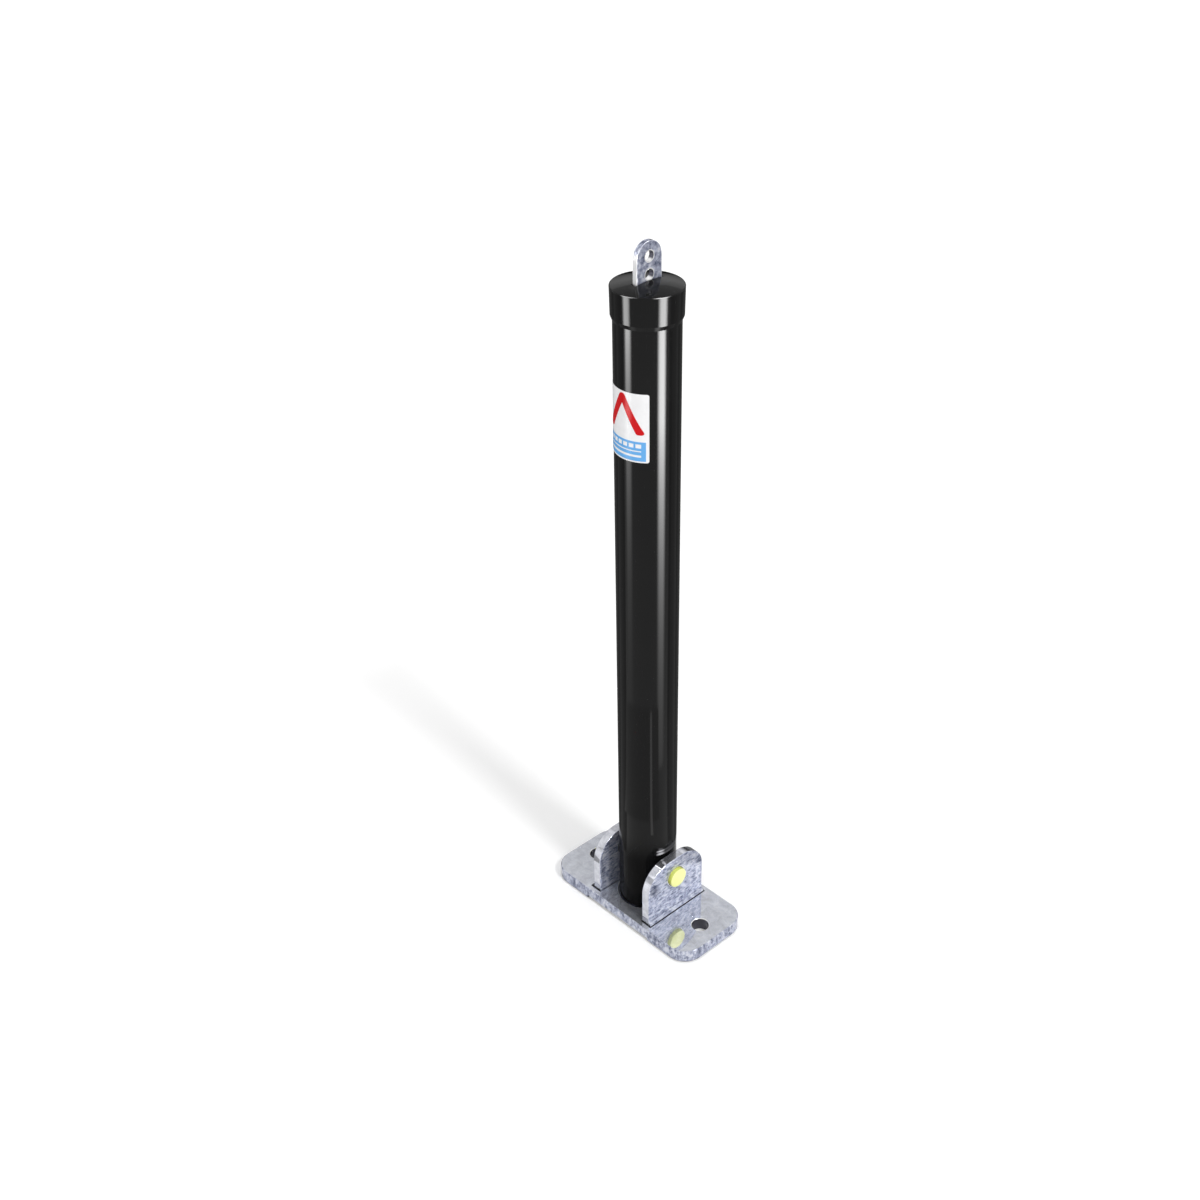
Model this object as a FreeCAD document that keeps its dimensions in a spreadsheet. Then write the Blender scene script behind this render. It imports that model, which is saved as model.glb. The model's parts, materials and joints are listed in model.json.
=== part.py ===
import FreeCAD, Part
import Sketcher
import math
import os
import re

# Fold-down parking post. +Z is up and the ground is at z = 0, with the origin under the middle
# of the post. The base plate is long in X, and the cross pin that the post folds about lies in X.

os.makedirs("parts", exist_ok=True)
doc = FreeCAD.newDocument("parking_post")

# Driving dimensions, in millimetres

DIMENSIONS = {
    "plate_length": 203.0,
    "plate_width": 92.0,
    "plate_thickness": 14.4,
    "plate_corner_radius": 22.0,
    "plate_edge_round": 1.2,
    "fixing_inset": 23.5,
    "fixing_hole_diameter": 18.0,
    "rim_chamfer": 0.6,
    "tube_diameter": 60.0,
    "tube_wall": 2.5,
    "socket_clearance": 1.6,
    "foot_depth": 0.4,
    "foot_chamfer": 0.5,
    "ear_gap": 1.8,
    "ear_thickness": 10.0,
    "ear_setback": 6.6,
    "ear_rise": 23.9,
    "ear_shoulder_radius": 30.0,
    "ear_edge_round": 0.8,
    "slot_weld_room": 3.9,
    "slot_inner_clearance": 0.8,
    "slot_end_clearance": 1.2,
    "weld_rise": 3.6,
    "weld_toe_gap": 0.8,
    "yoke_thickness": 4.0,
    "yoke_setback": 1.5,
    "yoke_end_clearance": 0.4,
    "yoke_corner_round": 2.0,
    "pin_height": 58.6,
    "pin_diameter": 16.0,
    "pin_chamfer": 1.0,
    "pin_end_clearance": 0.3,
    "bush_diameter": 21.5,
    "bush_clearance": 0.5,
    "bush_protrusion": 4.1,
    "bush_end_wall": 3.0,
    "bush_flange_diameter": 27.0,
    "bush_flange_thickness": 1.4,
    "bush_edge_round": 0.5,
    "bush_bore_fit": 0.05,
    "sleeve_diameter": 30.0,
    "sleeve_end_clearance": 0.5,
    "running_fit": 0.05,
    "pin_slot_clearance": 0.5,
    "lift_travel": 16.0,
    "strap_width": 29.0,
    "strap_thickness": 5.2,
    "strap_rise": 33.8,
    "strap_edge_round": 0.5,
    "strap_hole_diameter": 9.6,
    "strap_hole_offset": 4.9,
    "strap_hole_spacing": 15.8,
    "guide_width": 27.0,
    "guide_height": 8.0,
    "guide_lift": 0.5,
    "guide_gap": 0.4,
    "guide_ridge_depth": 1.2,
    "guide_ridge_upper_slope": 1.8,
    "guide_ridge_lower_slope": 0.8,
    "weld_gap": 0.1,
    "stop_pin_diameter": 8.0,
    "stop_pin_length": 38.0,
    "stop_clearance": 0.2,
    "tube_top": 688.0,
    "top_plate_thickness": 6.0,
    "cap_side_wall": 2.4,
    "cap_draft": 0.5,
    "cap_skirt": 26.0,
    "cap_rim_height": 3.6,
    "cap_crown": 4.2,
    "cap_wall": 3.5,
    "cap_fit": 0.1,
    "cap_rim_round": 1.2,
    "cap_lip_width": 1.6,
    "cap_lip_height": 4.0,
    "strap_slot_end_gap": 2.0,
    "strap_slot_side_gap": 0.4,
    "sticker_width": 51.3,
    "sticker_height": 65.0,
    "sticker_bottom": 540.0,
    "sticker_glue": 0.1,
    "sticker_film": 0.1,
    "sticker_corner_radius": 2.0,
    "print_gap": 0.05,
    "print_layer": 0.1,
    "chevron_foot": 26.5,
    "chevron_height": 41.5,
    "chevron_reach": 21.0,
    "chevron_limb": 7.0,
    "chevron_peak_round": 4.0,
    "chevron_end_round": 2.0,
    "panel_margin": 1.5,
    "panel_height": 18.5,
    "panel_reach": 20.8,
    "bar_reach": 17.6,
    "low_bar_rise": 3.6,
    "low_bar_height": 2.2,
    "mid_bar_rise": 8.8,
    "mid_bar_height": 1.2,
    "block_row_rise": 12.4,
    "block_row_height": 3.9,
    "block_gap": 1.6,
}

# Places that follow from the driving dimensions

PLACES = {
    "fixing_place": "plate_length / 2 - fixing_inset",
    "tube_radius": "tube_diameter / 2",
    "tube_bore_radius": "tube_radius - tube_wall",
    "foot_height": "plate_thickness - foot_depth",
    "ear_inner": "tube_radius + ear_gap",
    "ear_outer": "ear_inner + ear_thickness",
    "ear_half_width": "plate_width / 2 - ear_setback",
    "ear_top": "pin_height + ear_rise",
    "slot_inner": "ear_inner - slot_inner_clearance",
    "slot_outer": "ear_outer + slot_weld_room",
    "slot_half_length": "ear_half_width + slot_end_clearance",
    "weld_toe": "slot_outer - weld_toe_gap",
    "socket_diameter": "tube_diameter + 2 * socket_clearance",
    "bush_length": "bush_flange_thickness + ear_thickness + bush_protrusion",
    "bush_bore_radius": "pin_diameter / 2 + bush_bore_fit",
    "pin_half_length": "ear_outer + bush_protrusion - bush_end_wall - pin_end_clearance",
    "sleeve_half_length": "sqrt(tube_bore_radius ^ 2 - (sleeve_diameter / 2) ^ 2) - sleeve_end_clearance",
    "guide_bottom": "ear_top + guide_lift",
    "guide_top": "guide_bottom + guide_height",
    "guide_inner": "strap_thickness / 2 + guide_gap",
    "guide_middle": "guide_bottom + guide_height / 2",
    "guide_groove_radius": "tube_radius - guide_ridge_depth",
    "stop_pin_height": "guide_top + lift_travel + stop_pin_diameter / 2 + stop_clearance",
    "cap_bore_radius": "tube_radius + cap_fit",
    "cap_radius": "tube_radius + cap_side_wall",
    "cap_bottom": "tube_top - cap_skirt",
    "cap_rim": "tube_top + cap_rim_height",
    "crown_height": "cap_rim + cap_crown",
    "strap_top": "crown_height + strap_rise",
    "strap_round_height": "strap_top - strap_width / 2",
    "lower_hole_height": "crown_height + strap_hole_offset",
    "upper_hole_height": "lower_hole_height + strap_hole_spacing",
    "strap_slot_length": "strap_width + 2 * strap_slot_end_gap",
    "strap_slot_width": "strap_thickness + 2 * strap_slot_side_gap",
    "film_radius": "tube_radius + sticker_glue + sticker_film",
    "print_radius": "film_radius + print_gap",
    "chevron_bottom": "sticker_bottom + chevron_foot",
    "chevron_peak": "chevron_bottom + chevron_height",
    "chevron_inner_peak": "chevron_peak - chevron_limb * chevron_height / chevron_reach",
    "panel_bottom": "sticker_bottom + panel_margin",
    "panel_top": "panel_bottom + panel_height",
    "block_width": "(2 * bar_reach - 5 * block_gap) / 6",
}

sheet = doc.addObject("Spreadsheet::Sheet", "Sizes")
for row, (word, number) in enumerate(DIMENSIONS.items(), 1):
    sheet.set(f"A{row}", word)
    sheet.set(f"B{row}", str(number))
    sheet.setAlias(f"B{row}", word)
doc.recompute()


def formula(text):
    """Spell out a size in terms of the sheet's cells."""
    def spell(match):
        word = match.group(0)
        if word in PLACES:
            return "(" + formula(PLACES[word]) + ")"
        if word in DIMENSIONS:
            return "Sizes." + word
        return word
    return re.sub(r"[a-z_]+", spell, text)


def value(text):
    """Number that a size has now."""
    return float(sheet.evalExpression(formula(text)))


def bind(thing, name, text):
    """Tie a property of a feature to a size."""
    thing.setExpression(name, formula(text))


# Sketches and features

def new_body(label):
    """Start a sub-part."""
    body = doc.addObject("PartDesign::Body", label)
    body.Label = label
    return body


def new_sketch(body, name, role, offset=None):
    """Sketch on one of the body's own planes, moved along that plane's normal by an offset."""
    sketch = body.newObject("Sketcher::SketchObject", f"{body.Name}_{name}")
    plane = next(face for face in body.Origin.OriginFeatures if face.Role == role)
    sketch.AttachmentSupport = [(plane, "")]
    sketch.MapMode = "FlatFace"
    if offset:
        bind(sketch, "AttachmentOffset.Base.z", offset)
    return sketch


def constrain(sketch, kind, where, size):
    """Add a dimension to a sketch and tie it to a size."""
    number = sketch.addConstraint(Sketcher.Constraint(kind, *where, value(size)))
    bind(sketch, f"Constraints[{number}]", size)


def hold_point(sketch, edge, end, across, up):
    """Place one point of a sketch from the sketch's origin."""
    for kind, axis, place in (("DistanceX", -2, across), ("DistanceY", -1, up)):
        size = value(place)
        if size == 0:
            sketch.addConstraint(Sketcher.Constraint("PointOnObject", edge, end, axis))
        elif size > 0:
            constrain(sketch, kind, (-1, 1, edge, end), place)
        else:
            constrain(sketch, kind, (edge, end, -1, 1), f"-({place})")


def draw_circle(sketch, across, up, diameter):
    """Circle with its centre placed from the sketch's origin."""
    centre = FreeCAD.Vector(value(across), value(up), 0)
    edge = sketch.addGeometry(Part.Circle(centre, FreeCAD.Vector(0, 0, 1), value(diameter) / 2))
    hold_point(sketch, edge, 3, across, up)
    constrain(sketch, "Diameter", (edge,), diameter)


def axis_arc(start, end):
    """Arc between two points, with its centre on the sketch's vertical axis."""
    drop = end.y - start.y
    height = (end.x ** 2 - start.x ** 2 + end.y ** 2 - start.y ** 2) / (2 * drop)
    centre = FreeCAD.Vector(0, height, 0)
    angles = [math.atan2(point.y - height, point.x) for point in (start, end)]
    ring = Part.Circle(centre, FreeCAD.Vector(0, 0, 1), (start - centre).Length)
    return Part.ArcOfCircle(ring, min(angles), max(angles)), angles[0] < angles[1]


def draw_outline(sketch, corners, arcs=()):
    """Closed outline through corners. The sides numbered in arcs are centred on the vertical axis."""
    points = [FreeCAD.Vector(value(across), value(up), 0) for across, up in corners]
    ends = []
    for side, start in enumerate(points):
        end = points[(side + 1) % len(points)]
        if side in arcs:
            arc, forward = axis_arc(start, end)
            edge = sketch.addGeometry(arc)
            ends.append((edge, 1, 2) if forward else (edge, 2, 1))
            sketch.addConstraint(Sketcher.Constraint("PointOnObject", edge, 3, -2))
        else:
            edge = sketch.addGeometry(Part.LineSegment(start, end))
            ends.append((edge, 1, 2))
    for side, (edge, first, last) in enumerate(ends):
        after, after_first, _ = ends[(side + 1) % len(ends)]
        sketch.addConstraint(Sketcher.Constraint("Coincident", edge, last, after, after_first))
        hold_point(sketch, edge, first, *corners[side])


def draw_rectangle(sketch, left, right, bottom, top):
    """Rectangle with its four sides placed from the sketch's origin."""
    draw_outline(sketch, [(left, bottom), (right, bottom), (right, top), (left, top)])


def draw_obround(sketch, low, high, width):
    """Upright slot on the sketch's vertical axis, with round ends centred at two heights."""
    normal = FreeCAD.Vector(0, 0, 1)
    reach = FreeCAD.Vector(value(width) / 2, 0, 0)
    lower = FreeCAD.Vector(0, value(low), 0)
    upper = FreeCAD.Vector(0, value(high), 0)
    top = sketch.addGeometry(Part.ArcOfCircle(Part.Circle(upper, normal, reach.x), 0, math.pi))
    left = sketch.addGeometry(Part.LineSegment(upper - reach, lower - reach))
    bottom = sketch.addGeometry(
        Part.ArcOfCircle(Part.Circle(lower, normal, reach.x), math.pi, 2 * math.pi))
    right = sketch.addGeometry(Part.LineSegment(lower + reach, upper + reach))
    for edge, after in ((top, left), (left, bottom), (bottom, right), (right, top)):
        sketch.addConstraint(Sketcher.Constraint("Tangent", edge, 2, after, 1))
    sketch.addConstraint(Sketcher.Constraint("Equal", top, bottom))
    hold_point(sketch, top, 3, "0", high)
    hold_point(sketch, bottom, 3, "0", low)
    constrain(sketch, "Diameter", (top,), width)


def pad(body, sketch, length, both_ways=False):
    """Raise a sketch along its normal, or by half the length to each side of it."""
    feature = body.newObject("PartDesign::Pad", f"{sketch.Name}_pad")
    feature.Profile = sketch
    bind(feature, "Length", length)
    if both_ways:
        feature.SideType = "Symmetric"


def cut_through(body, sketch):
    """Cut a sketch right through the body, to both sides of its plane."""
    feature = body.newObject("PartDesign::Pocket", f"{sketch.Name}_cut")
    feature.Profile = sketch
    feature.Type = "ThroughAll"
    feature.SideType = "Symmetric"


def revolve(body, sketch):
    """Turn a sketch right round its vertical axis."""
    feature = body.newObject("PartDesign::Revolution", f"{sketch.Name}_turned")
    feature.Profile = sketch
    feature.ReferenceAxis = (sketch, ["V_Axis"])
    feature.Angle = 360
    return feature


def soften(body, kind, name, size, chosen):
    """Round or chamfer the edges that a test picks out."""
    doc.recompute()
    base = body.Tip
    edges = [f"Edge{n}" for n, edge in enumerate(base.Shape.Edges, 1) if chosen(edge)]
    feature = body.newObject(f"PartDesign::{kind}", f"{body.Name}_{name}")
    feature.Base = (base, edges)
    bind(feature, "Radius" if kind == "Fillet" else "Size", size)


def spans(edge, axis):
    """Lowest and highest place of an edge along X, Y or Z."""
    box = edge.BoundBox
    return {"x": (box.XMin, box.XMax), "y": (box.YMin, box.YMax), "z": (box.ZMin, box.ZMax)}[axis]


def level(edge, axis, place):
    """Whether the whole edge lies at one place along an axis."""
    low, high = spans(edge, axis)
    return abs(low - place) < 0.001 and abs(high - place) < 0.001


def runs_along(edge, axis):
    """Whether the edge is straight and parallel to an axis."""
    others = [spans(edge, other) for other in "xyz" if other != axis]
    return all(high - low < 0.001 for low, high in others)


def is_ring(edge):
    """Whether the edge is a whole circle."""
    return edge.isClosed()


# Base plate: thick flat bar with round corners, cut out for the post, the ears and the yoke

def make_base_plate():
    body = new_body("base_plate")
    outline = new_sketch(body, "outline", "XY_Plane")
    draw_rectangle(outline, "-plate_length / 2", "plate_length / 2", "-plate_width / 2", "plate_width / 2")
    pad(body, outline, "plate_thickness")
    soften(body, "Fillet", "corners", "plate_corner_radius", lambda edge: runs_along(edge, "z"))
    soften(body, "Fillet", "edges", "plate_edge_round",
           lambda edge: level(edge, "z", 0) or level(edge, "z", value("plate_thickness")))
    socket = new_sketch(body, "socket", "XY_Plane")
    draw_circle(socket, "0", "0", "socket_diameter")
    cut_through(body, socket)
    fixings = new_sketch(body, "fixings", "XY_Plane")
    draw_circle(fixings, "-fixing_place", "0", "fixing_hole_diameter")
    draw_circle(fixings, "fixing_place", "0", "fixing_hole_diameter")
    cut_through(body, fixings)
    soften(body, "Chamfer", "rims", "rim_chamfer",
           lambda edge: is_ring(edge) and level(edge, "z", value("plate_thickness")))
    slots = new_sketch(body, "slots", "XY_Plane")
    draw_rectangle(slots, "-slot_outer", "-slot_inner", "-slot_half_length", "slot_half_length")
    draw_rectangle(slots, "slot_inner", "slot_outer", "-slot_half_length", "slot_half_length")
    cut_through(body, slots)
    channel = new_sketch(body, "channel", "XY_Plane")
    draw_rectangle(channel, "-slot_outer", "slot_outer", "-plate_width", "plate_width")
    recess = body.newObject("PartDesign::Pocket", "base_plate_channel_cut")
    recess.Profile = channel
    recess.Reversed = True
    bind(recess, "Length", "yoke_thickness")
    return body


# Yoke plate: thin bar trapped under the base plate, which the ears are welded to

def make_yoke_plate():
    body = new_body("yoke_plate")
    outline = new_sketch(body, "outline", "XY_Plane")
    reach = "slot_outer - yoke_end_clearance"
    depth = "plate_width / 2 - yoke_setback"
    draw_rectangle(outline, f"-({reach})", reach, f"-({depth})", depth)
    pad(body, outline, "yoke_thickness")
    soften(body, "Fillet", "corners", "yoke_corner_round", lambda edge: runs_along(edge, "z"))
    return body


# Ears: two thick plates with large round shoulders, standing up through the base plate's slots

def make_ear(label, inner_face):
    body = new_body(label)
    outline = new_sketch(body, "outline", "YZ_Plane", inner_face)
    draw_rectangle(outline, "-ear_half_width", "ear_half_width", "yoke_thickness", "ear_top")
    pad(body, outline, "ear_thickness")
    soften(body, "Fillet", "shoulders", "ear_shoulder_radius",
           lambda edge: runs_along(edge, "x") and level(edge, "z", value("ear_top")))
    soften(body, "Fillet", "edges", "ear_edge_round",
           lambda edge: spans(edge, "x")[1] - spans(edge, "x")[0] < 0.001
           and not level(edge, "z", value("yoke_thickness")))
    bore = new_sketch(body, "bore", "YZ_Plane")
    draw_circle(bore, "0", "pin_height", "bush_diameter + 2 * bush_clearance")
    cut_through(body, bore)
    return body


# Ear welds: a bead along each ear's outer foot, which fills the slot down to the yoke plate

def make_ear_weld(label, side):
    body = new_body(label)
    section = new_sketch(body, "section", "XZ_Plane")
    draw_outline(section, [
        ("ear_outer", "yoke_thickness"),
        ("weld_toe", "yoke_thickness"),
        ("weld_toe", "plate_thickness"),
        ("ear_outer", "plate_thickness + weld_rise"),
    ])
    pad(body, section, "2 * ear_half_width", both_ways=True)
    body.Placement = FreeCAD.Placement(
        FreeCAD.Vector(0, 0, 0), FreeCAD.Rotation(FreeCAD.Vector(0, 0, 1), 90 - 90 * side))
    return body


# Bushes: moulded, flanged inside the ear and closed outside it over the end of the cross pin

def make_bush(label, side):
    body = new_body(label)
    section = new_sketch(body, "section", "XZ_Plane")
    flange, shank = "bush_flange_diameter / 2", "bush_diameter / 2"
    floor = "bush_length - bush_end_wall"
    draw_outline(section, [
        ("bush_bore_radius", "0"),
        (flange, "0"),
        (flange, "bush_flange_thickness"),
        (shank, "bush_flange_thickness"),
        (shank, "bush_length"),
        ("0", "bush_length"),
        ("0", floor),
        ("bush_bore_radius", floor),
    ])
    revolve(body, section)
    soften(body, "Fillet", "edge", "bush_edge_round", lambda edge: level(edge, "z", value("bush_length")))
    body.Placement = FreeCAD.Placement(
        FreeCAD.Vector(0, 0, 0), FreeCAD.Rotation(FreeCAD.Vector(0, 1, 0), 90 * side))
    bind(body, "Placement.Base.x", f"{side} * (ear_inner - bush_flange_thickness)")
    bind(body, "Placement.Base.z", "pin_height")
    return body


# Cross pin, held in the two bushes, and the sleeve that turns on it

def make_pivot_pin():
    body = new_body("pivot_pin")
    section = new_sketch(body, "section", "YZ_Plane")
    draw_circle(section, "0", "pin_height", "pin_diameter")
    pad(body, section, "2 * pin_half_length", both_ways=True)
    soften(body, "Chamfer", "ends", "pin_chamfer", is_ring)
    return body


def make_pivot_sleeve():
    body = new_body("pivot_sleeve")
    section = new_sketch(body, "section", "YZ_Plane")
    draw_circle(section, "0", "pin_height", "sleeve_diameter")
    draw_circle(section, "0", "pin_height", "pin_diameter + 2 * running_fit")
    pad(body, section, "2 * sleeve_half_length", both_ways=True)
    return body


# Lock strap: flat bar, coped over the sleeve below and round at its top, with two holes there

def make_lock_strap():
    body = new_body("lock_strap")
    shank = new_sketch(body, "shank", "YZ_Plane")
    draw_rectangle(shank, "-strap_width / 2", "strap_width / 2", "pin_height", "strap_round_height")
    pad(body, shank, "strap_thickness", both_ways=True)
    head = new_sketch(body, "head", "YZ_Plane")
    draw_circle(head, "0", "strap_round_height", "strap_width")
    pad(body, head, "strap_thickness", both_ways=True)
    half = value("strap_thickness / 2")
    soften(body, "Fillet", "edges", "strap_edge_round",
           lambda edge: (level(edge, "x", half) or level(edge, "x", -half))
           and spans(edge, "z")[1] > value("pin_height") + 1)
    cope = new_sketch(body, "cope", "YZ_Plane")
    draw_circle(cope, "0", "pin_height", "sleeve_diameter")
    cut_through(body, cope)
    holes = new_sketch(body, "holes", "YZ_Plane")
    draw_circle(holes, "0", "lower_hole_height", "strap_hole_diameter")
    draw_circle(holes, "0", "upper_hole_height", "strap_hole_diameter")
    draw_circle(holes, "0", "stop_pin_height", "stop_pin_diameter")
    cut_through(body, holes)
    return body


def make_lift_stop_pin():
    body = new_body("lift_stop_pin")
    section = new_sketch(body, "section", "YZ_Plane")
    draw_circle(section, "0", "stop_pin_height", "stop_pin_diameter")
    pad(body, section, "stop_pin_length", both_ways=True)
    return body


# Tube: its walls have an upright slot for the cross pin and a window for each guide block

def make_post_tube():
    body = new_body("post_tube")
    section = new_sketch(body, "section", "XY_Plane", "foot_height")
    draw_circle(section, "0", "0", "tube_diameter")
    draw_circle(section, "0", "0", "2 * tube_bore_radius")
    pad(body, section, "tube_top - foot_height")
    soften(body, "Chamfer", "foot", "foot_chamfer",
           lambda edge: is_ring(edge) and level(edge, "z", value("foot_height"))
           and spans(edge, "x")[1] > value("tube_radius - tube_wall / 2"))
    pin_slot = new_sketch(body, "pin_slot", "YZ_Plane")
    draw_obround(pin_slot, "pin_height - lift_travel", "pin_height", "pin_diameter + 2 * pin_slot_clearance")
    cut_through(body, pin_slot)
    windows = new_sketch(body, "windows", "YZ_Plane")
    reach = "guide_width / 2 + weld_gap"
    draw_rectangle(windows, f"-({reach})", reach, "guide_bottom - weld_gap", "guide_top + weld_gap")
    cut_through(body, windows)
    return body


# Guide blocks: welded in the tube's windows, flush outside in two ridges, with the strap between

def make_guide_ridges(label):
    """Round form of the tube's outside over a guide block's height, with two ridges."""
    body = new_body(f"{label}_ridges")
    section = new_sketch(body, "section", "XZ_Plane")
    corners = [("0", "guide_bottom")]
    for low, high in (("guide_bottom", "guide_middle"), ("guide_middle", "guide_top")):
        corners.append(("guide_groove_radius", low))
        corners.append(("tube_radius", f"{low} + guide_ridge_lower_slope"))
        corners.append(("tube_radius", f"{high} - guide_ridge_upper_slope"))
    corners.append(("guide_groove_radius", "guide_top"))
    corners.append(("0", "guide_top"))
    draw_outline(section, corners)
    revolve(body, section)
    return body


def make_guide_block(label, near_face):
    overrun = 2.0
    block = doc.addObject("Part::Box", f"{label}_bar")
    bind(block, "Length", f"tube_radius - guide_inner + {overrun}")
    bind(block, "Width", "guide_width")
    bind(block, "Height", "guide_height")
    bind(block, "Placement.Base.x", near_face.format(overrun=overrun))
    bind(block, "Placement.Base.y", "-guide_width / 2")
    bind(block, "Placement.Base.z", "guide_bottom")
    trimmed = doc.addObject("Part::Common", label)
    trimmed.Base = block
    trimmed.Tool = make_guide_ridges(label)
    trimmed.Label = label
    return trimmed


# Top plate: slotted disc welded in the tube's top end

def make_top_plate():
    body = new_body("top_plate")
    disc = new_sketch(body, "disc", "XY_Plane", "tube_top - top_plate_thickness")
    draw_circle(disc, "0", "0", "2 * (tube_bore_radius - weld_gap)")
    pad(body, disc, "top_plate_thickness")
    cut_strap_slot(body)
    return body


def cut_strap_slot(body):
    """Slot that the strap comes up through."""
    slot = new_sketch(body, "slot", "XY_Plane")
    across, along = "strap_slot_width / 2", "strap_slot_length / 2"
    draw_rectangle(slot, f"-({across})", across, f"-({along})", along)
    cut_through(body, slot)


# Cap: moulded, with a domed top, a slightly drawn-in skirt and a soft lower lip

def make_post_cap():
    body = new_body("post_cap")
    section = new_sketch(body, "section", "XZ_Plane")
    skirt = "cap_radius - cap_draft"
    draw_outline(section, [
        ("cap_bore_radius", "cap_bottom"),
        (f"{skirt} - cap_lip_width", "cap_bottom"),
        (skirt, "cap_bottom + cap_lip_height"),
        ("cap_radius", "cap_rim"),
        ("0", "crown_height"),
        ("0", "crown_height - cap_wall"),
        ("tube_bore_radius", "tube_top"),
        ("cap_bore_radius", "tube_top"),
    ], arcs=(3, 5))
    revolve(body, section)
    soften(body, "Fillet", "rim", "cap_rim_round", lambda edge: level(edge, "z", value("cap_rim")))
    cut_strap_slot(body)
    return body


# Sticker: thin film bent round the side of the tube that faces -Y

def make_marker_sticker():
    body = new_body("marker_sticker")
    section = new_sketch(body, "section", "XZ_Plane")
    under = "tube_radius + sticker_glue"
    draw_rectangle(section, under, "film_radius", "sticker_bottom", "sticker_bottom + sticker_height")
    film = revolve(body, section)
    film.Midplane = True
    bind(film, "Angle", "sticker_width / tube_radius * 180 / pi")
    soften(body, "Fillet", "corners", "sticker_corner_radius",
           lambda edge: edge.Length < value("2 * sticker_film"))
    body.Placement = FreeCAD.Placement(
        FreeCAD.Vector(0, 0, 0), FreeCAD.Rotation(FreeCAD.Vector(0, 0, 1), -90))
    return body


# Print on the sticker: a red open chevron, and a light blue panel with plain bars and blocks

def lay_on_film(label, stencil):
    """Thin layer with the outline of a stencil, bent round the film."""
    shell = []
    for name, radius in (("outside", "print_radius + print_layer"), ("inside", "print_radius")):
        drum = doc.addObject("Part::Cylinder", f"{label}_{name}")
        bind(drum, "Radius", radius)
        bind(drum, "Height", "tube_top")
        shell.append(drum)
    ring = doc.addObject("Part::Cut", f"{label}_ring")
    ring.Base, ring.Tool = shell
    layer = doc.addObject("Part::Common", label)
    layer.Base = stencil
    layer.Tool = ring
    layer.Label = label
    return layer


def make_print_chevron():
    body = new_body("chevron_stencil")
    outline = new_sketch(body, "outline", "XZ_Plane")
    inside = "chevron_reach - chevron_limb"
    draw_outline(outline, [
        ("0", "chevron_peak"),
        ("-chevron_reach", "chevron_bottom"),
        (f"-({inside})", "chevron_bottom"),
        ("0", "chevron_inner_peak"),
        (inside, "chevron_bottom"),
        ("chevron_reach", "chevron_bottom"),
    ])
    pad(body, outline, "tube_diameter")
    soften(body, "Fillet", "ends", "chevron_end_round",
           lambda edge: runs_along(edge, "y") and level(edge, "z", value("chevron_bottom")))
    soften(body, "Fillet", "peak", "chevron_peak_round",
           lambda edge: runs_along(edge, "y") and level(edge, "z", value("chevron_peak")))
    return lay_on_film("print_chevron", body)


def make_print_panel():
    body = new_body("panel_stencil")
    outline = new_sketch(body, "outline", "XZ_Plane")
    draw_rectangle(outline, "-panel_reach", "panel_reach", "panel_bottom", "panel_top")
    for bar in ("low_bar", "mid_bar"):
        bottom = f"panel_bottom + {bar}_rise"
        draw_rectangle(outline, "-bar_reach", "bar_reach", bottom, f"{bottom} + {bar}_height")
    bottom = "panel_bottom + block_row_rise"
    for step in range(6):
        left = f"-bar_reach + {step} * (block_width + block_gap)"
        draw_rectangle(outline, left, f"{left} + block_width", bottom, f"{bottom} + block_row_height")
    pad(body, outline, "tube_diameter")
    return lay_on_film("print_panel", body)


pieces = [
    make_base_plate(),
    make_yoke_plate(),
    make_ear("ear_left", "-ear_outer"),
    make_ear("ear_right", "ear_inner"),
    make_ear_weld("ear_weld_left", -1),
    make_ear_weld("ear_weld_right", 1),
    make_bush("bush_left", -1),
    make_bush("bush_right", 1),
    make_pivot_pin(),
    make_pivot_sleeve(),
    make_lock_strap(),
    make_lift_stop_pin(),
    make_post_tube(),
    make_guide_block("guide_block_left", "-tube_radius - {overrun}"),
    make_guide_block("guide_block_right", "guide_inner"),
    make_top_plate(),
    make_post_cap(),
    make_marker_sticker(),
    make_print_chevron(),
    make_print_panel(),
]
doc.recompute()

for thing in doc.Objects:
    faults = {"Invalid", "Error"} & set(thing.State)
    if faults:
        raise RuntimeError(f"{thing.Label} did not build: {thing.State}")
for piece in pieces:
    if piece.Shape.isNull() or not piece.Shape.isValid():
        raise RuntimeError(f"{piece.Label} is not a sound solid")
for piece in pieces:
    piece.Shape.exportStep(f"parts/{piece.Label}.step")
    box = piece.Shape.BoundBox
    print(f"{piece.Label:18s} solids {len(piece.Shape.Solids)} volume {piece.Shape.Volume:10.1f}"
          f"  x {box.XMin:7.2f} {box.XMax:7.2f}  y {box.YMin:7.2f} {box.YMax:7.2f}"
          f"  z {box.ZMin:7.2f} {box.ZMax:7.2f}")
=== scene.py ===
import json
import math

import bmesh
import bpy
from mathutils import Matrix, Vector

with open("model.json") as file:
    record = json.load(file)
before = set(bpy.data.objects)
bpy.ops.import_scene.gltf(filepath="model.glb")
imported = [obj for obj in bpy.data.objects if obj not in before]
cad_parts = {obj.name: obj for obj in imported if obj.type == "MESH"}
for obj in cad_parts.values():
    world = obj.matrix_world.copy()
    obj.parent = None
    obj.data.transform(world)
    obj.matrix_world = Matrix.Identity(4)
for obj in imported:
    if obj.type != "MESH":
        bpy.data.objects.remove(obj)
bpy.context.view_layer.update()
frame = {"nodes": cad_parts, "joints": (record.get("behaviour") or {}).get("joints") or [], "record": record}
nodes = frame["nodes"]


# Camera: a long lens that looks down on the post from in front and to the right.
# The base plate's near corner points at it, and the post stands right of the picture's middle.

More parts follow.
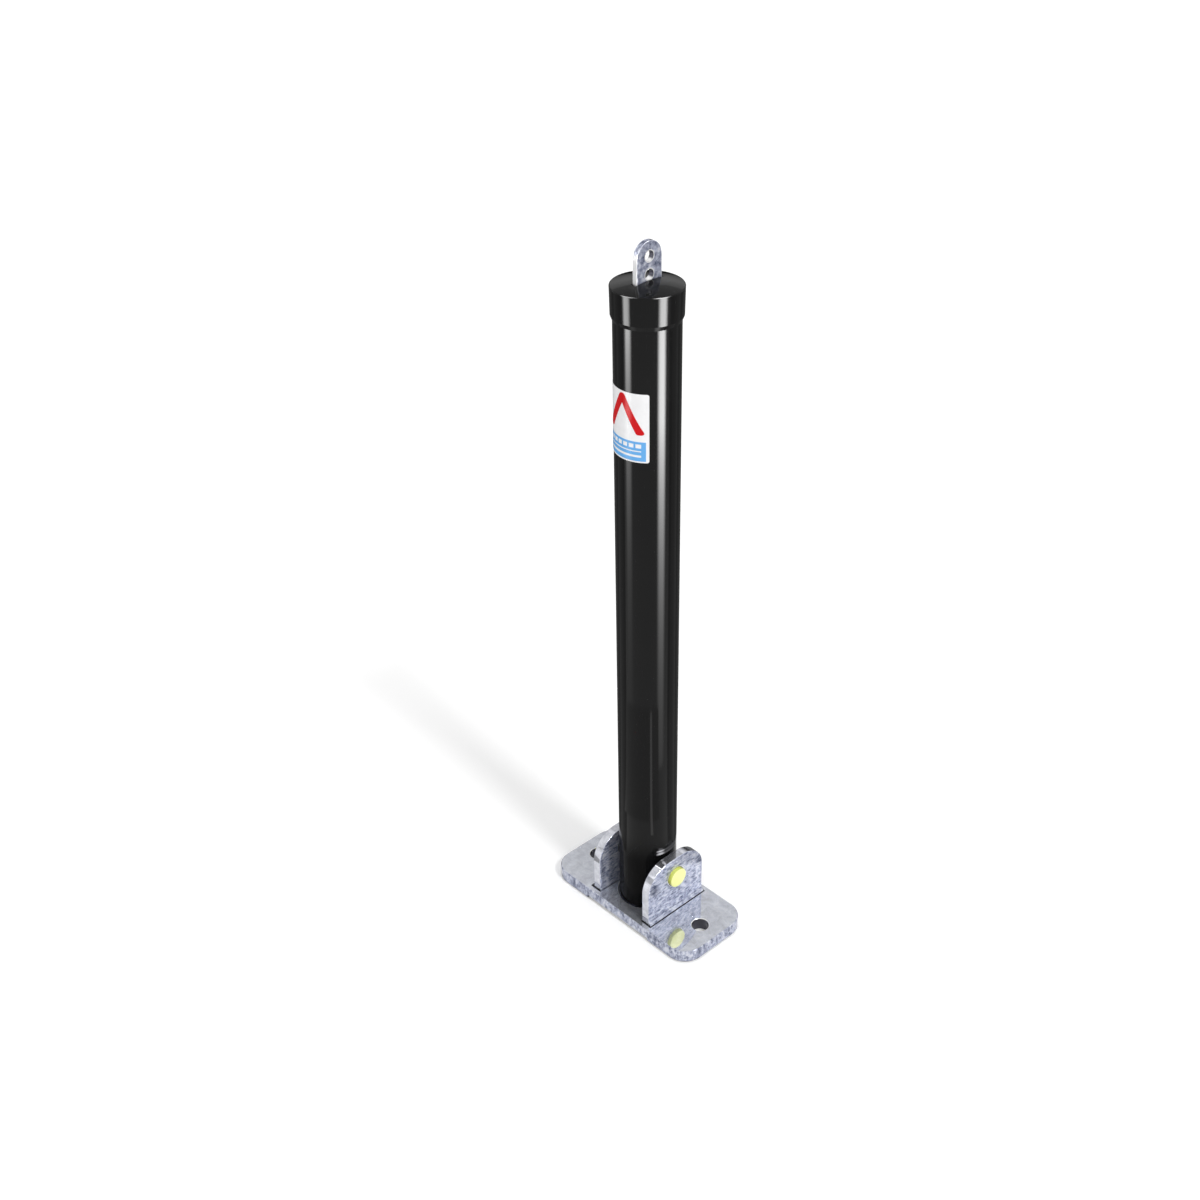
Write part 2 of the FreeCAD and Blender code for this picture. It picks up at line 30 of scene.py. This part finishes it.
azimuth, elevation = math.radians(45.681), math.radians(34.700)
distance, aim_height, aim_aside = 1.56724, 0.30982, 0.00226
back = Vector((
    math.sin(azimuth) * math.cos(elevation),
    -math.cos(azimuth) * math.cos(elevation),
    math.sin(elevation),
))
across = Vector((math.cos(azimuth), math.sin(azimuth), 0))
aim = Vector((0, 0, aim_height)) + aim_aside * across

lens = bpy.data.cameras.new("camera")
lens.sensor_width = 36
lens.lens = 48.636
lens.shift_x = -0.04166
lens.shift_y = 0.05083
lens.clip_start = 0.05
lens.clip_end = 60
camera = bpy.data.objects.new("camera", lens)
camera.location = aim + distance * back
camera.rotation_mode = "QUATERNION"
camera.rotation_quaternion = Matrix((across, back.cross(across), back)).transposed().to_quaternion()
bpy.context.collection.objects.link(camera)
bpy.context.scene.camera = camera
bpy.context.scene.view_settings.view_transform = "Standard"


# Studio: white paper floor and a white sky, lit evenly, so that colours show as they are.
# The paper and the sky look white to the camera and in gloss, and light the rest a little less.

def shader_tree(owner):
    """Empty node tree of a material or a world, with its output."""
    owner.use_nodes = True
    tree = owner.node_tree
    tree.nodes.clear()
    kind = "World" if isinstance(owner, bpy.types.World) else "Material"
    return tree, tree.nodes.new("ShaderNodeOutput" + kind)


def add(tree, kind, sockets=(), **settings):
    """New node. Each of its sockets named here gets a value, or a link from another node's output."""
    node = tree.nodes.new("ShaderNode" + kind)
    for setting, choice in settings.items():
        setattr(node, setting, choice)
    for socket, source in dict(sockets).items():
        if isinstance(source, bpy.types.NodeSocket):
            tree.links.new(source, node.inputs[socket])
        else:
            node.inputs[socket].default_value = source
    return node


def seen_directly(tree):
    """1 for rays from the camera, off gloss or through glass, and 0 for light on matt surfaces."""
    rays = add(tree, "LightPath")
    either = add(tree, "Math", {0: rays.outputs["Is Camera Ray"], 1: rays.outputs["Is Glossy Ray"]},
                 operation="MAXIMUM")
    return add(tree, "Math", {0: either.outputs[0], 1: rays.outputs["Is Transmission Ray"]},
               operation="MAXIMUM").outputs[0]


sky = bpy.data.worlds.new("white_sky")
bpy.context.scene.world = sky
tree, output = shader_tree(sky)
strength = add(tree, "MapRange", {"Value": seen_directly(tree), "To Min": 0.74, "To Max": 1.0})
air = add(tree, "Background", {"Color": (1, 1, 1, 1), "Strength": strength.outputs["Result"]})
tree.links.new(air.outputs[0], output.inputs["Surface"])

paper = bpy.data.materials.new("white_paper")
tree, output = shader_tree(paper)
matt = add(tree, "BsdfDiffuse", {"Color": (0.90, 0.90, 0.90, 1)})
lift = add(tree, "MapRange", {"Value": seen_directly(tree), "To Min": 0.0, "To Max": 0.20})
glow = add(tree, "Emission", {"Strength": lift.outputs["Result"]})
both = add(tree, "AddShader", {0: matt.outputs[0], 1: glow.outputs[0]})
tree.links.new(both.outputs[0], output.inputs["Surface"])


def sheet(name, faces, material):
    """Flat studio sheet from lists of corners."""
    surface = bmesh.new()
    for corners in faces:
        surface.faces.new([surface.verts.new(corner) for corner in corners])
    mesh = bpy.data.meshes.new(name)
    surface.to_mesh(mesh)
    surface.free()
    mesh.materials.append(material)
    item = bpy.data.objects.new(name, mesh)
    bpy.context.collection.objects.link(item)
    return item


floor_half, floor_height = 12, -0.0006
quarters = ((-1, -1), (1, -1), (1, 1), (-1, 1))
sheet("floor", [[(x * floor_half, y * floor_half, floor_height) for x, y in quarters]], paper)


# Lamps: a sun high on the right, broad enough to soften the shadow that it throws to the left.
# Two tall soft boxes stand beside the post, and only gloss sees them, as two long streaks.

sun = bpy.data.lights.new("broad_sun", "SUN")
sun.energy = 1.2
sun.angle = math.radians(8.5)
sun_lamp = bpy.data.objects.new("broad_sun", sun)
sun_lamp.rotation_euler = (0, math.radians(40), math.radians(-5))
sun_lamp.visible_glossy = False
bpy.context.collection.objects.link(sun_lamp)


def for_gloss_only(item):
    """Hide a studio sheet from all but the rays off gloss."""
    item.visible_camera = False
    item.visible_diffuse = False
    item.visible_transmission = False
    item.visible_shadow = False


def along(tree, place, axis):
    """Where the surface lies along one axis, in metres."""
    return add(tree, "SeparateXYZ", {0: place.outputs["Object"]}).outputs[axis]


def times(tree, first, second):
    """Product of two numbers."""
    return add(tree, "Math", {0: first, 1: second}, operation="MULTIPLY").outputs[0]


box_height, box_distance = 1.3, 0.28
spread_from, spread_to, spread = 0.66, 0.82, 1.75


def soft_box(name, turn, width, strength, full_height, fall):
    """Upright glowing sheet, soft at its sides. It fades below its full height and spreads at its top."""
    glowing = bpy.data.materials.new(name)
    tree, output = shader_tree(glowing)
    place = add(tree, "TexCoord")
    height = along(tree, place, "Z")
    wider = add(tree, "MapRange", {"Value": height, "From Min": spread_from, "From Max": spread_to,
                                   "To Min": 1.0, "To Max": spread}).outputs["Result"]
    aside = add(tree, "Math", {0: along(tree, place, "X")}, operation="ABSOLUTE")
    aside = add(tree, "Math", {0: aside.outputs[0], 1: wider}, operation="DIVIDE")
    sides = add(tree, "MapRange", {"Value": aside.outputs[0], "From Min": width / 2,
                                   "From Max": width * 0.12}, interpolation_type="SMOOTHSTEP")
    below = add(tree, "Math", {0: height, 1: full_height}, operation="SUBTRACT")
    fade = add(tree, "Math", {0: times(tree, below.outputs[0], fall)}, operation="EXPONENT")
    capped = add(tree, "Math", {0: fade.outputs[0], 1: 1.0}, operation="MINIMUM")
    share = times(tree, times(tree, sides.outputs["Result"], capped.outputs[0]), wider)
    glow = add(tree, "Emission", {"Strength": times(tree, share, strength)})
    clear = add(tree, "BsdfTransparent")
    both = add(tree, "AddShader", {0: glow.outputs[0], 1: clear.outputs[0]})
    tree.links.new(both.outputs[0], output.inputs["Surface"])
    half = 0.9 * width
    corners = [(-half, 0, 0), (half, 0, 0), (half, 0, box_height), (-half, 0, box_height)]
    box = sheet(name, [corners], glowing)
    box.location = (box_distance * math.cos(turn), box_distance * math.sin(turn), 0)
    box.rotation_euler.z = turn + math.pi / 2
    for_gloss_only(box)


soft_box("soft_box_right", math.radians(2.5), 0.177, 57, 0.453, 8.7)
soft_box("soft_box_left", math.radians(-108), 0.15, 31, 0.553, 10.8)


# Cloths and cards: dark cloths behind the post keep the tube's sides black. A white shelf keeps the
# soft boxes off the plate's front edges, and a bright strip on it draws a thin line on the tube.
# Far behind, a band with a dark foot draws dark lines on the far edges, below a grey card.

cloth_starts, cloth_thins, cloth_ends = 0.115, 1.6, 3.6
shelf_height, strip_height = 0.098, 0.099
band_radius, band_top, card_top = 3.04, Vector((0, 0, 2.4)), Vector((0, 0, 5.5))
card_left, card_right = Vector((-3.2, 1.1, 0)), Vector((-1.1, 3.2, 0))


def cloth(name, shade):
    """Matt studio cloth in one grey, which thins out far from the post."""
    weave = bpy.data.materials.new(name)
    tree, output = shader_tree(weave)
    place = add(tree, "TexCoord")
    away = add(tree, "VectorMath", {0: place.outputs["Object"]}, operation="LENGTH")
    thin = add(tree, "MapRange", {"Value": away.outputs["Value"], "From Min": cloth_thins,
                                  "From Max": cloth_ends}, interpolation_type="SMOOTHSTEP")
    matt = add(tree, "BsdfDiffuse", {"Color": (shade, shade, shade, 1)})
    clear = add(tree, "BsdfTransparent")
    both = add(tree, "MixShader", {0: thin.outputs["Result"], 1: matt.outputs[0], 2: clear.outputs[0]})
    tree.links.new(both.outputs[0], output.inputs["Surface"])
    return weave


def card(name, level):
    """Card that looks the same all over, however it is lit."""
    even = bpy.data.materials.new(name)
    tree, output = shader_tree(even)
    glow = add(tree, "Emission", {"Strength": level})
    tree.links.new(glow.outputs[0], output.inputs["Surface"])
    return even


def rays(start, stop, steps):
    """Level directions from one azimuth to another, in degrees."""
    turns = [math.radians(start + (stop - start) * step / steps) for step in range(steps + 1)]
    return [Vector((math.cos(turn), math.sin(turn), 0)) for turn in turns]


def sector(inner, outer, height, start, stop, steps):
    """Faces of part of a level ring, between two azimuths."""
    ways = rays(start, stop, steps)
    up = Vector((0, 0, height))
    return [[inner * a + up, outer * a + up, outer * b + up, inner * b + up]
            for a, b in zip(ways, ways[1:])]


grey_cloth = cloth("grey_cloth", 0.36)
for name, start, stop, steps, material in (
    ("cloth_right", 30, 76, 10, grey_cloth),
    ("cloth_behind", 76, 194, 24, cloth("black_cloth", 0.15)),
    ("cloth_left", 194, 231, 8, grey_cloth),
):
    for_gloss_only(sheet(name, sector(cloth_starts, cloth_ends, 0, start, stop, steps), material))

shelf = sector(0.07, 0.27, shelf_height, -129, -6, 24)
for_gloss_only(sheet("cloth_shelf", shelf, cloth("white_cloth", 0.85)))
strip = sector(0.047, 0.26, strip_height, -36, -29, 3)
for_gloss_only(sheet("light_strip", strip, card("light_strip", 2.8)))
hanging = [card_right + band_top, card_left + band_top, card_left + card_top, card_right + card_top]
for_gloss_only(sheet("grey_card", [hanging], card("grey_card", 0.7)))

band = bpy.data.materials.new("dark_band")
tree, output = shader_tree(band)
level = add(tree, "MapRange", {"Value": along(tree, add(tree, "TexCoord"), "Z"),
                               "From Min": 0.75, "From Max": 1.7, "To Min": 0.0, "To Max": 1.1})
glow = add(tree, "Emission", {"Strength": level.outputs["Result"]})
tree.links.new(glow.outputs[0], output.inputs["Surface"])
foot = [band_radius * ray for ray in rays(80, 190, 12)]
wall = [[a, b, b + band_top, a + band_top] for a, b in zip(foot, foot[1:])]
for_gloss_only(sheet("dark_band", wall, band))


# Base plate, yoke plate, ears and their welds: thick plate, flame cut and welded, then dipped in zinc.
# The zinc set in bluish crystals and runs. Flat tops and rims drained smooth, and shine like a mirror.

def finish_in(material, *names):
    """Give parts of the post their finish."""
    for name in names:
        nodes[name].data.materials.clear()
        nodes[name].data.materials.append(material)


def tones(tree, factor, *stops):
    """Colours along a factor, each stop given as its place and its colour."""
    ramp = add(tree, "ValToRGB", {"Fac": factor})
    while len(ramp.color_ramp.elements) < len(stops):
        ramp.color_ramp.elements.new(0.5)
    for element, (place, colour) in zip(ramp.color_ramp.elements, stops):
        element.position = place
        element.color = (*colour, 1)
    return ramp.outputs["Color"]


def blend(tree, share, first, second):
    """Mix of two numbers."""
    return add(tree, "Mix", {"Factor": share, "A": first, "B": second}).outputs["Result"]


def blend_colours(tree, share, first, second):
    """Mix of two colours, each a link or three numbers."""
    mix = add(tree, "Mix", {0: share}, data_type="RGBA")
    for socket in mix.inputs:
        if socket.identifier in ("A_Color", "B_Color"):
            source = first if socket.identifier == "A_Color" else second
            if isinstance(source, bpy.types.NodeSocket):
                tree.links.new(source, socket)
            else:
                socket.default_value = (*source, 1)
    return next(socket for socket in mix.outputs if socket.identifier == "Result_Color")


def step(tree, value, start, stop):
    """0 where a value is at the start of a range, 1 at its end, and soft between."""
    return add(tree, "MapRange", {"Value": value, "From Min": start, "From Max": stop},
               interpolation_type="SMOOTHSTEP").outputs["Result"]


def facing(tree, place, axis, start, stop):
    """How far the surface faces along an axis, either way, as a share from 0 to 1."""
    parts = add(tree, "SeparateXYZ", {0: place.outputs["Normal"]})
    either = add(tree, "Math", {0: parts.outputs[axis]}, operation="ABSOLUTE")
    return step(tree, either.outputs[0], start, stop)


rim_width, rim_blur, wall_blur, line_blur = 0.0006, 0.0004, 0.0002, 0.0002
gap_reach = 0.0035


def with_holes(tree, place, colour, holes):
    """The colour, but at each hole a painted highlight on its rim, and painted shade on its wall, painted
    pale where the wall faces up as if lit.
    A hole is its axis, middle and radius."""
    for axis, middle, radius in holes:
        flatten = [0 if letter == axis else 1 for letter in "XYZ"]
        flat = add(tree, "VectorMath", {0: place.outputs["Object"], 1: flatten}, operation="MULTIPLY")
        apart = add(tree, "VectorMath", {0: flat.outputs[0], 1: middle}, operation="DISTANCE")
        away = apart.outputs["Value"]
        # Painted highlight on the rim, painted shade on the wall, painted light on its upward-facing bottom.
        rim_highlight = step(tree, away, radius + rim_width + rim_blur, radius + rim_width)
        colour = blend_colours(tree, rim_highlight, colour, (0.95, 0.95, 0.95))
        lit_bottom = facing(tree, place, "Z", 0.5, 0.9)
        wall_shade = blend_colours(tree, lit_bottom, (0.08, 0.08, 0.10), (0.92, 0.92, 0.93))
        inside = step(tree, away, radius + wall_blur, radius)
        colour = blend_colours(tree, inside, colour, wall_shade)
    return colour


def galvanised(name, runs, scale, lightness, contrast, smooth_where, smooth_tones, smooth_shine,
               smooth_gloss, gap_shade=(0.3, 0.75), holes=(), shade_below=-1.0, dull_edges=False):
    """Hot-dipped zinc: mottled and run, but smooth where it faces along, or across, one axis.
    Narrow gaps between parts get painted shade, and so does all that lies below a height.
    Dull edges are the rounded ones round the faces that look along X, painted pale as a highlight where they
    are upright, and darker where they face up."""
    zinc = bpy.data.materials.new(name)
    tree, output = shader_tree(zinc)
    place = add(tree, "TexCoord")
    drawn = add(tree, "Mapping", {"Vector": place.outputs["Object"], "Scale": runs})
    clouds = add(tree, "TexNoise", {"Vector": place.outputs["Object"], "Scale": 0.28 * scale,
                                    "Detail": 6, "Roughness": 0.6, "Distortion": 0.6})
    streaks = add(tree, "TexNoise", {"Vector": drawn.outputs[0], "Scale": scale, "Detail": 5,
                                     "Roughness": 0.65})
    crystals = add(tree, "TexVoronoi", {"Vector": place.outputs["Object"], "Scale": 0.7 * scale})
    facets = add(tree, "RGBToBW", {0: crystals.outputs["Color"]})
    marks = blend(tree, 0.62, clouds.outputs["Fac"], streaks.outputs["Fac"])
    marks = blend(tree, 0.10, marks, facets.outputs[0])
    colour = tones(
        tree, marks,
        (0.50 - 0.13 / contrast, [lightness * part for part in (0.13, 0.15, 0.23)]),
        (0.50 - 0.04 / contrast, [lightness * part for part in (0.36, 0.39, 0.52)]),
        (0.50 + 0.03 / contrast, [lightness * part for part in (0.54, 0.57, 0.70)]),
        (0.50 + 0.12 / contrast, [min(0.97, lightness * part) for part in (0.80, 0.83, 0.93)]),
    )
    gloss = add(tree, "MapRange", {"Value": marks, "From Min": 0.35, "From Max": 0.65,
                                   "To Min": 0.07, "To Max": 0.17}).outputs["Result"]

    smooth = facing(tree, place, *smooth_where)
    light = tones(tree, clouds.outputs["Fac"], (0.36, smooth_tones[0]), (0.64, smooth_tones[1]))
    colour = blend_colours(tree, smooth, colour, light)
    gloss = blend(tree, smooth, gloss, smooth_gloss)
    shine = blend(tree, smooth, 0.45, smooth_shine)
    depth = add(tree, "MapRange", {"Value": smooth, "To Min": 0.12, "To Max": 0.006}).outputs["Result"]
    # Painted highlight: the rounded edges are pale where upright and darker where they face up.
    if dull_edges:
        rounded = times(tree, facing(tree, place, "X", 0.08, 0.2), facing(tree, place, "X", 0.995, 0.95))
        painted_edge_tones = blend_colours(tree, facing(tree, place, "Z", 0.05, 0.25),
                             (0.90, 0.90, 0.92), (0.34, 0.35, 0.41))
        colour = blend_colours(tree, rounded, colour, painted_edge_tones)
        gloss = blend(tree, rounded, gloss, 0.7)
        shine = blend(tree, rounded, shine, 0.0)

    # Painted shade: near-black where ambient occlusion finds narrow gaps, and below the shade height.
    gap = add(tree, "AmbientOcclusion", {"Distance": gap_reach})
    open_sky = step(tree, gap.outputs["AO"], *gap_shade)
    raised = step(tree, along(tree, place, "Z"), shade_below - line_blur, shade_below + line_blur)
    colour = blend_colours(tree, times(tree, open_sky, raised), (0.03, 0.03, 0.035), colour)
    colour = with_holes(tree, place, colour, holes)
    relief = add(tree, "Bump", {"Strength": depth, "Distance": 0.0004, "Height": marks})
    skin = add(tree, "BsdfPrincipled", {"Base Color": colour, "Metallic": shine, "Roughness": gloss,
                                        "Specular IOR Level": 0.25 if dull_edges else 0.5,
                                        "Normal": relief.outputs["Normal"]})
    tree.links.new(skin.outputs[0], output.inputs["Surface"])
    return zinc


mounts = {mount["name"]: mount for mount in frame["record"]["mounts"]}
anchors = mounts["fixing_holes"]["dims"]
anchor_reach, anchor_radius = anchors["spacing_x_mm"] / 2000, anchors["hole_r_mm"] / 1000
socket_radius, bush_radius, weld_foot = 0.0316, 0.01145, 0.0149
pin_place = next(joint["pos_m"] for joint in frame["joints"] if joint["name"] == "post_fold")

zinc_on_plate = galvanised(
    "zinc_on_plate", runs=(1.0, 1.0, 0.45), scale=380, lightness=0.81, contrast=1.4,
    smooth_where=("Z", 0.9, 0.99), smooth_tones=((0.57, 0.585, 0.64), (0.71, 0.735, 0.80)),
    smooth_shine=0.76, smooth_gloss=0.04, gap_shade=(0.4, 0.9),
    holes=(("Z", (anchor_reach, 0, 0), anchor_radius), ("Z", (-anchor_reach, 0, 0), anchor_radius),
           ("Z", (0, 0, 0), socket_radius)),
)
zinc_on_yoke = galvanised(
    "zinc_on_yoke", runs=(0.5, 0.5, 1.0), scale=380, lightness=0.95, contrast=1.2,
    smooth_where=("Y", 0.85, 0.98), smooth_tones=((0.56, 0.56, 0.56), (0.74, 0.74, 0.74)),
    smooth_shine=0.4, smooth_gloss=0.2,
)
zinc_on_ears = galvanised(
    "zinc_on_ears", runs=(1.0, 0.28, 1.1), scale=560, lightness=0.99, contrast=1.2,
    smooth_where=("X", 0.5, 0.2), smooth_tones=((0.50, 0.51, 0.56), (0.66, 0.67, 0.72)),
    smooth_shine=0.88, smooth_gloss=0.05, gap_shade=(0.1, 0.4), holes=(("X", pin_place, bush_radius),),
)
# Painted shade on the welds: their end faces along Y are near-black, and so is all below weld_foot, down in
# the plate's slots.
zinc_on_welds = galvanised(
    "zinc_on_welds", runs=(1.0, 0.28, 1.1), scale=560, lightness=0.85, contrast=1.0,
    smooth_where=("Y", 0.5, 0.9), smooth_tones=((0.06, 0.06, 0.07), (0.12, 0.12, 0.14)),
    smooth_shine=0.3, smooth_gloss=0.25, gap_shade=(0.1, 0.4), shade_below=weld_foot,
)
finish_in(zinc_on_plate, "base_plate")
finish_in(zinc_on_yoke, "yoke_plate")
finish_in(zinc_on_ears, "ear_left", "ear_right")
finish_in(zinc_on_welds, "ear_weld_left", "ear_weld_right")


# Bushes: moulded in pale yellow plastic, with a flange behind the ear and a closed round end.
# They are pressed into the ears and hold the cross pin's ends. Their inner flanges, between ear and tube,
# are painted black as shade.

lit_from, shaded_to = 0.0322, 0.0317

yellow = bpy.data.materials.new("yellow_moulding")
tree, output = shader_tree(yellow)
place = add(tree, "TexCoord")
flow = add(tree, "TexNoise", {"Vector": place.outputs["Object"], "Scale": 90, "Detail": 3})
pores = add(tree, "TexNoise", {"Vector": place.outputs["Object"], "Scale": 2600})
colour = tones(tree, flow.outputs["Fac"], (0.35, (0.90, 0.925, 0.33)), (0.65, (0.95, 0.965, 0.41)))
# Painted shade: the bush's round side, which does not face along X, is darker olive.
colour = blend_colours(tree, facing(tree, place, "X", 0.7, 0.3), colour, (0.58, 0.62, 0.12))
# Painted shade: black on the inner flanges, between ear and tube.
aside = add(tree, "Math", {0: along(tree, place, "X")}, operation="ABSOLUTE")
flange_shade = step(tree, aside.outputs[0], lit_from, shaded_to)
colour = blend_colours(tree, flange_shade, colour, (0.02, 0.02, 0.018))
polish = add(tree, "MapRange", {"Value": flow.outputs["Fac"], "To Min": 0.30, "To Max": 0.45})
relief = add(tree, "Bump", {"Strength": 0.12, "Distance": 0.00015, "Height": pores.outputs["Fac"]})
skin = add(tree, "BsdfPrincipled", {"Base Color": colour, "Roughness": polish.outputs["Result"],
                                    "Specular IOR Level": 0.35, "Normal": relief.outputs["Normal"]})
tree.links.new(skin.outputs[0], output.inputs["Surface"])
finish_in(yellow, "bush_left", "bush_right")


# Cross pin and stop pin: turned steel, left bright, with fine rings from the tool.
# The cross pin lies in the bushes, and the stop pin is pressed through the strap.

steel = bpy.data.materials.new("turned_steel")
tree, output = shader_tree(steel)
place = add(tree, "TexCoord")
drawn = add(tree, "Mapping", {"Vector": place.outputs["Object"], "Scale": (6.0, 0.6, 0.6)})
rings = add(tree, "TexNoise", {"Vector": drawn.outputs[0], "Scale": 900, "Detail": 3})
colour = tones(tree, rings.outputs["Fac"], (0.3, (0.42, 0.42, 0.43)), (0.7, (0.66, 0.66, 0.68)))
polish = add(tree, "MapRange", {"Value": rings.outputs["Fac"], "To Min": 0.22, "To Max": 0.42})
relief = add(tree, "Bump", {"Strength": 0.15, "Distance": 0.0001, "Height": rings.outputs["Fac"]})
skin = add(tree, "BsdfPrincipled", {"Base Color": colour, "Metallic": 0.9,
                                    "Roughness": polish.outputs["Result"],
                                    "Normal": relief.outputs["Normal"]})
tree.links.new(skin.outputs[0], output.inputs["Surface"])
finish_in(steel, "pivot_pin", "lift_stop_pin")


# Sleeve and lock strap: a thick tube that turns on the cross pin, and a long flat bar welded to it.
# Both are dipped in zinc, and the strap's straight edges and its upright rounded edges are painted pale, as
# a highlight.

# Painted highlight: the strap's faces along Y get near-white smooth tones, and dull_edges paints its rounded
# edges.
zinc_on_strap = galvanised(
    "zinc_on_strap", runs=(1.1, 0.6, 0.6), scale=420, lightness=0.79, contrast=1.2,
    smooth_where=("Y", 0.9, 0.99), smooth_tones=((0.93, 0.93, 0.95), (0.97, 0.97, 0.98)),
    smooth_shine=0.3, smooth_gloss=0.12, dull_edges=True,
    holes=[("X", mounts[name]["pos_m"], mounts[name]["dims"]["r_mm"] / 1000)
           for name in ("padlock_hole", "upper_strap_hole")],
)
finish_in(zinc_on_strap, "lock_strap", "pivot_sleeve")


# Tube, guide blocks and top plate: welded together, then coated in glossy black powder.
# The tube slides on the strap, and its foot, dulled between the ears, sits in the base plate's socket.
# The upward slopes of the guide blocks' ridges are made bare metal, as a painted highlight.

def glossy_black(name, grey, level, gloss, peel_size, peel_depth, highlit_slopes=False, dull_between=None):
    """Black skin with a deep gloss and a faint unevenness, made bare metal on its upward slopes if asked, as
    a painted highlight.
    Dull between two heights, it loses most of its gloss from the first down to the second."""
    black = bpy.data.materials.new(name)
    tree, output = shader_tree(black)
    place = add(tree, "TexCoord")
    peel = add(tree, "TexNoise", {"Vector": place.outputs["Object"], "Scale": peel_size, "Detail": 2})
    haze = add(tree, "TexNoise", {"Vector": place.outputs["Object"], "Scale": 14, "Detail": 4})
    colour = tones(tree, haze.outputs["Fac"], (0.3, (0.85 * grey, 0.85 * grey, 0.87 * grey)),
                   (0.7, (1.15 * grey, 1.15 * grey, 1.18 * grey)))
    slope_highlight = 0.0
    # Painted highlight: the upward slopes are made bare metal.
    if highlit_slopes:
        slope_highlight = facing(tree, place, "Z", 0.35, 0.5)
        colour = blend_colours(tree, slope_highlight, colour, (0.075, 0.075, 0.08))
    if dull_between:
        level = blend(tree, step(tree, along(tree, place, "Z"), *dull_between), level, 0.2 * level)
    polish = add(tree, "MapRange", {"Value": haze.outputs["Fac"], "To Min": gloss[0],
                                    "To Max": gloss[1]})
    relief = add(tree, "Bump", {"Strength": peel_depth, "Distance": 0.0001,
                                "Height": peel.outputs["Fac"]})
    skin = add(tree, "BsdfPrincipled", {"Base Color": colour, "Metallic": slope_highlight,
                                        "Roughness": polish.outputs["Result"],
                                        "Specular IOR Level": level, "Normal": relief.outputs["Normal"]})
    tree.links.new(skin.outputs[0], output.inputs["Surface"])
    return black


powder = {"grey": 0.0045, "level": 0.14, "gloss": (0.07, 0.10), "peel_size": 700, "peel_depth": 0.03}
above_ears, between_ears = 0.112, 0.074
finish_in(glossy_black("black_powder_coat", **powder, dull_between=(above_ears, between_ears)),
          "post_tube", "top_plate")
finish_in(glossy_black("highlit_powder_coat", **powder, highlit_slopes=True),
          "guide_block_left", "guide_block_right")


# Cap: moulded in glossy black plastic and pushed over the tube's top end.
# Its skirt is drawn in a little, and the strap comes up through the slot in its domed top.

black_moulding = glossy_black("black_moulding", grey=0.0070, level=0.11, gloss=(0.05, 0.08),
                              peel_size=420, peel_depth=0.01)
finish_in(black_moulding, "post_cap")


# Sticker: glossy white film bent round the tube, with a red open chevron and a light blue panel.
# The print is thin fields of ink, and the film shows through the panel as plain bars and blocks.

def printed_film(name, colour):
    """Smooth film or ink in one colour, a little uneven as print is."""
    ink = bpy.data.materials.new(name)
    tree, output = shader_tree(ink)
    place = add(tree, "TexCoord")
    mottle = add(tree, "TexNoise", {"Vector": place.outputs["Object"], "Scale": 160, "Detail": 5})
    shade = tones(tree, mottle.outputs["Fac"], (0.3, [0.95 * part for part in colour]), (0.7, colour))
    polish = add(tree, "MapRange", {"Value": mottle.outputs["Fac"], "To Min": 0.12, "To Max": 0.16})
    skin = add(tree, "BsdfPrincipled", {"Base Color": shade, "Roughness": polish.outputs["Result"],
                                        "Specular IOR Level": 0.08})
    tree.links.new(skin.outputs[0], output.inputs["Surface"])
    return ink


finish_in(printed_film("white_film", (0.95, 0.95, 0.96)), "marker_sticker")
finish_in(printed_film("red_ink", (0.66, 0.010, 0.014)), "print_chevron")
finish_in(printed_film("blue_ink", (0.16, 0.46, 0.88)), "print_panel")
